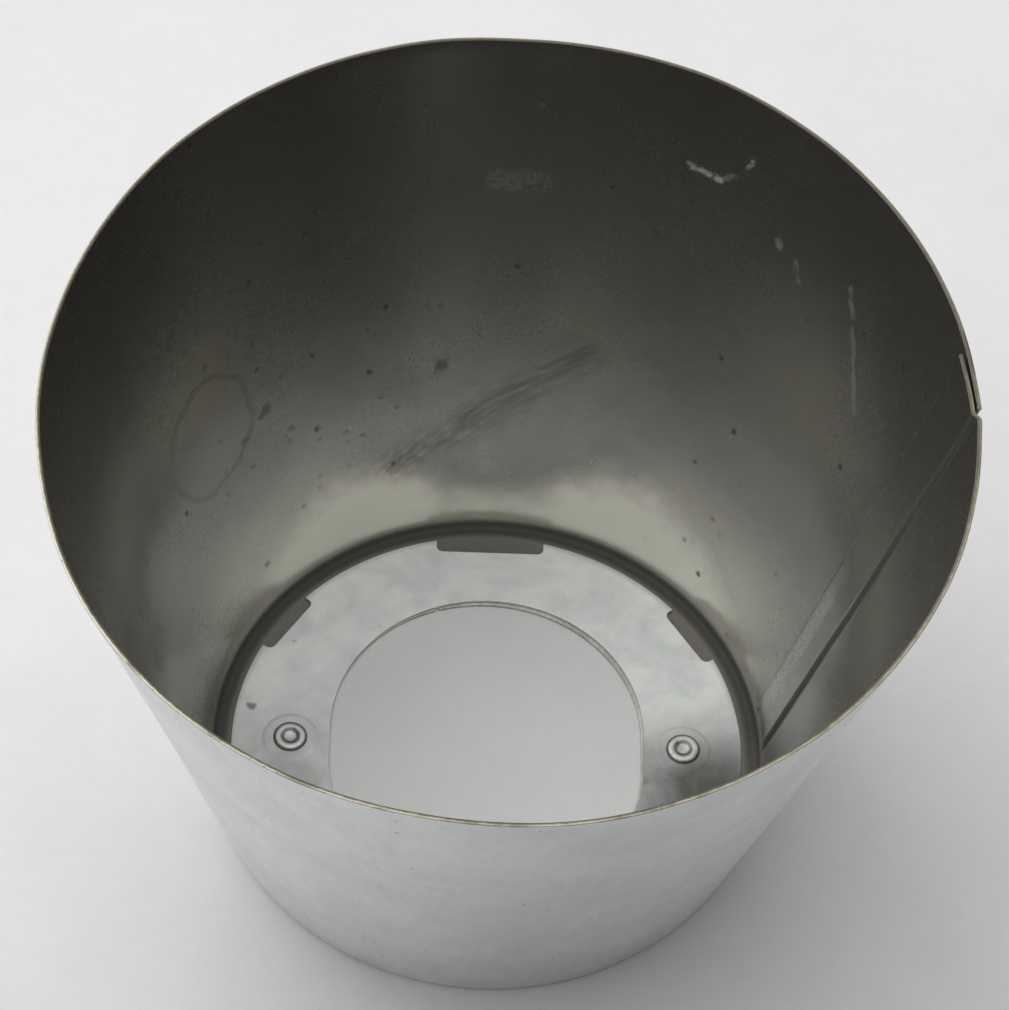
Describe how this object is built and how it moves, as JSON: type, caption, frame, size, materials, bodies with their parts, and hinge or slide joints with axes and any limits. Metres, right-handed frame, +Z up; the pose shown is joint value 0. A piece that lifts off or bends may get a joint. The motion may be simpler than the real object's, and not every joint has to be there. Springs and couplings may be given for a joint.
{
  "type": "canning funnel",
  "caption": "Tapered sheet-metal canning funnel: an open cup with a soldered lap seam, standing on a turned-in flange that holds a notched ring with an oblong opening.",
  "frame": {"origin": "on the cup's axis, in the plane the funnel stands on", "axes": "+Z up along the cup's axis, towards the wide rim; +X towards the lap seam; +Y towards one of the two wide notches in the ring"},
  "size_m": [0.13, 0.13, 0.087],
  "materials": {
    "shell_tinplate": "worn satin tinplate",
    "ring_tinplate": "bright satin tinplate",
    "collar_tinplate": "satin tinplate",
    "rivet_metal": "dull steel",
    "solder": "dull grey solder"
  },
  "bodies": {
    "root": {"body_shell": "shell_tinplate", "base_ring": "ring_tinplate", "collar_ring": "collar_tinplate", "rivets": "rivet_metal", "seam_solder": "solder", "base_solder": "solder"}
  },
  "joints": []
}
